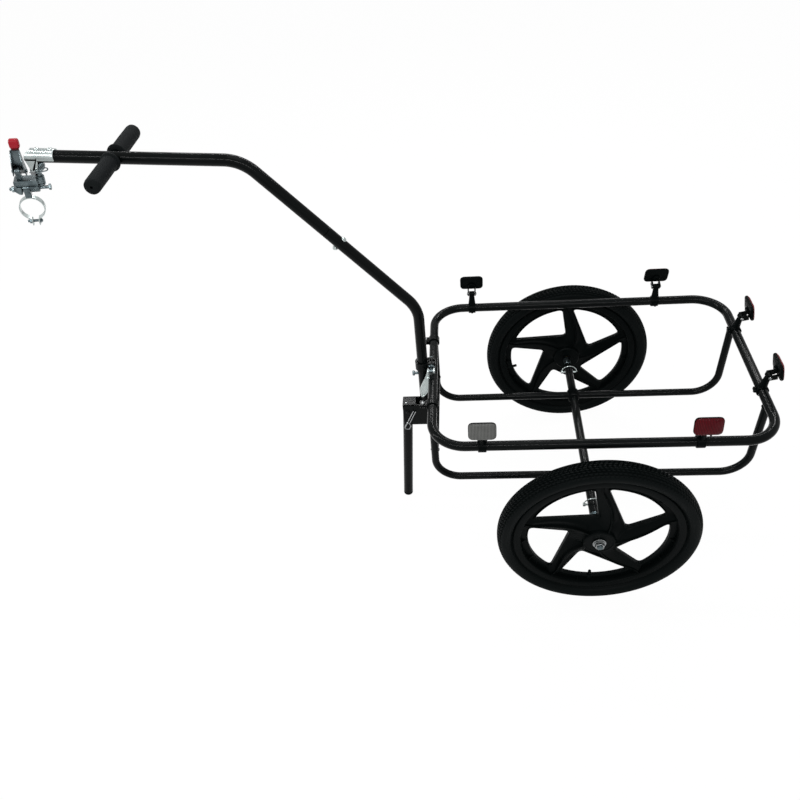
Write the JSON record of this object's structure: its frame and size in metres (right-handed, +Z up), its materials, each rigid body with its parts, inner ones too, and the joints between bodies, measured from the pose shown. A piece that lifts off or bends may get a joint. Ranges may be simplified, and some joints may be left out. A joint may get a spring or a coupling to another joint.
{
  "type": "cargo bike trailer",
  "caption": "Bare cargo trailer for a bicycle: black tube frame, plastic spoked wheels, high drawbar with T handle, seat post coupling, folding parking stand, tilting reflectors.",
  "frame": {"origin": "on the ground, in the middle of the part's outline as seen from above", "axes": "+X to the rear of the trailer, so the coupling points to -X; +Y to the trailer's right; +Z up"},
  "size_m": [1.4086, 0.6408, 0.9498],
  "materials": {
    "powder_coat": "gloss black powder coat on steel tube",
    "zinc_plate": "bright zinc plate",
    "plain_steel": "plain steel",
    "brass": "turned bushing",
    "tyre": "matt black tread rubber",
    "black_rubber": "matt black",
    "foam_grip": "matt black foam",
    "black_plastic": "satin black moulding",
    "red_plastic": "dipped red cap",
    "clear_lens": "clear prism lens in a black housing",
    "red_lens": "red prism lens in a black housing"
  },
  "bodies": {
    "frame": {"frame_half_left": "powder_coat", "frame_half_right": "powder_coat", "side_loop_left": "powder_coat", "side_loop_right": "powder_coat", "front_crossbar": "powder_coat", "axle_tube": "powder_coat", "clamp_left": "powder_coat", "clamp_right": "powder_coat", "drawbar_lower": "powder_coat", "drawbar_upper": "powder_coat", "drawbar_joint_bolt": "zinc_plate", "drawbar_lock_pin": "zinc_plate", "drawbar_collar": "powder_coat", "quick_release_skewer": "plain_steel", "handle_tube": "powder_coat", "grip_left": "foam_grip", "grip_right": "foam_grip", "hitch_bracket": "zinc_plate", "hitch_pin": "zinc_plate", "hitch_clip": "plain_steel", "stand_bracket": "powder_coat", "stand_pivot": "plain_steel", "stub_axle_left": "plain_steel", "stub_axle_right": "plain_steel", "axle_nut_left": "zinc_plate", "axle_nut_right": "zinc_plate", "reflector_mount_left_front": "black_plastic", "reflector_mount_left_rear": "black_plastic", "reflector_mount_right_front": "black_plastic", "reflector_mount_right_rear": "black_plastic", "reflector_mount_tail_left": "black_plastic", "reflector_mount_tail_right": "black_plastic"},
    "wheel_set_left": {"tyre_left": "tyre", "inner_tube_left": "black_rubber", "wheel_left": "black_plastic", "hub_bush_left": "brass"},
    "wheel_set_right": {"tyre_right": "tyre", "inner_tube_right": "black_rubber", "wheel_right": "black_plastic", "hub_bush_right": "brass"},
    "link": {"swivel_link": "plain_steel"},
    "head": {"coupling_head": "zinc_plate", "swivel_bolt": "plain_steel", "lever_spring": "plain_steel"},
    "seat_post_strap": {"seat_post_clamp": "zinc_plate", "clamp_bolt": "plain_steel"},
    "release": {"release_lever": "zinc_plate", "lever_cap": "red_plastic"},
    "quick_release": {"quick_release_lever": "zinc_plate"},
    "stand": {"stand_leg": "powder_coat", "stand_foot": "black_rubber", "stand_lock_pin": "plain_steel"},
    "lock_pin_left": {"wheel_lock_pin_left": "zinc_plate"},
    "lock_pin_right": {"wheel_lock_pin_right": "zinc_plate"},
    "lens_left_front": {"reflector_left_front": "clear_lens"},
    "lens_left_rear": {"reflector_left_rear": "red_lens"},
    "lens_right_front": {"reflector_right_front": "clear_lens"},
    "lens_right_rear": {"reflector_right_rear": "red_lens"},
    "lens_tail_left": {"reflector_tail_left": "red_lens"},
    "lens_tail_right": {"reflector_tail_right": "red_lens"}
  },
  "joints": [
    {"name": "wheel_left_spin", "type": "hinge", "parent": "frame", "child": "wheel_set_left", "pos_m": [0.35078, -0.2835, 0.19904], "axis": [0, 1, 0], "continuous": true},
    {"name": "wheel_right_spin", "type": "hinge", "parent": "frame", "child": "wheel_set_right", "pos_m": [0.35078, 0.2835, 0.19904], "axis": [0, 1, 0], "continuous": true},
    {"name": "coupling_pitch", "type": "hinge", "parent": "frame", "child": "link", "pos_m": [-0.6451, 0, 0.89184], "axis": [0, 1, 0], "range_deg": [-20, 0]},
    {"name": "coupling_yaw", "type": "hinge", "parent": "link", "child": "head", "pos_m": [-0.6451, 0, 0.89184], "axis": [0.1392, 0, 0.9903], "range_deg": [-56, 20]},
    {"name": "coupling_roll", "type": "hinge", "parent": "head", "child": "seat_post_strap", "pos_m": [-0.67552, -0.00834, 0.8598], "axis": [0.9418, 0.309, -0.1324], "range_deg": [-90, 90]},
    {"name": "release_lever_swing", "type": "hinge", "parent": "head", "child": "release", "pos_m": [-0.67377, -0.00927, 0.89284], "axis": [0.9418, 0.309, -0.1324], "range_deg": [0, 60], "stiffness_Nm_per_rad": 0.4, "springref_deg": -17.19},
    {"name": "quick_release_swing", "type": "hinge", "parent": "frame", "child": "quick_release", "pos_m": [0.02578, -0.0237, 0.4141], "axis": [-1, 0, 0], "range_deg": [0, 120]},
    {"name": "stand_fold", "type": "hinge", "parent": "frame", "child": "stand", "pos_m": [-0.03322, 0, 0.29], "axis": [0, 1, 0], "range_deg": [0, 86]},
    {"name": "lock_pin_left_swing", "type": "hinge", "parent": "frame", "child": "lock_pin_left", "pos_m": [0.35078, -0.21, 0.19904], "axis": [1, 0, 0], "range_deg": [-40, 40]},
    {"name": "lock_pin_right_swing", "type": "hinge", "parent": "frame", "child": "lock_pin_right", "pos_m": [0.35078, 0.21, 0.19904], "axis": [1, 0, 0], "range_deg": [-40, 40]},
    {"name": "reflector_left_front_tilt", "type": "hinge", "parent": "frame", "child": "lens_left_front", "pos_m": [0.12578, -0.229, 0.43], "axis": [1, 0, 0], "range_deg": [-18, 22]},
    {"name": "reflector_left_rear_tilt", "type": "hinge", "parent": "frame", "child": "lens_left_rear", "pos_m": [0.52778, -0.229, 0.43], "axis": [1, 0, 0], "range_deg": [-18, 22]},
    {"name": "reflector_right_front_tilt", "type": "hinge", "parent": "frame", "child": "lens_right_front", "pos_m": [0.11578, 0.229, 0.43], "axis": [-1, 0, 0], "range_deg": [-18, 22]},
    {"name": "reflector_right_rear_tilt", "type": "hinge", "parent": "frame", "child": "lens_right_rear", "pos_m": [0.53078, 0.229, 0.43], "axis": [-1, 0, 0], "range_deg": [-18, 22]},
    {"name": "reflector_tail_left_tilt", "type": "hinge", "parent": "frame", "child": "lens_tail_left", "pos_m": [0.68178, -0.086, 0.43], "axis": [0, 1, 0], "range_deg": [-18, 22]},
    {"name": "reflector_tail_right_tilt", "type": "hinge", "parent": "frame", "child": "lens_tail_right", "pos_m": [0.68178, 0.105, 0.43], "axis": [0, 1, 0], "range_deg": [-18, 22]}
  ]
}
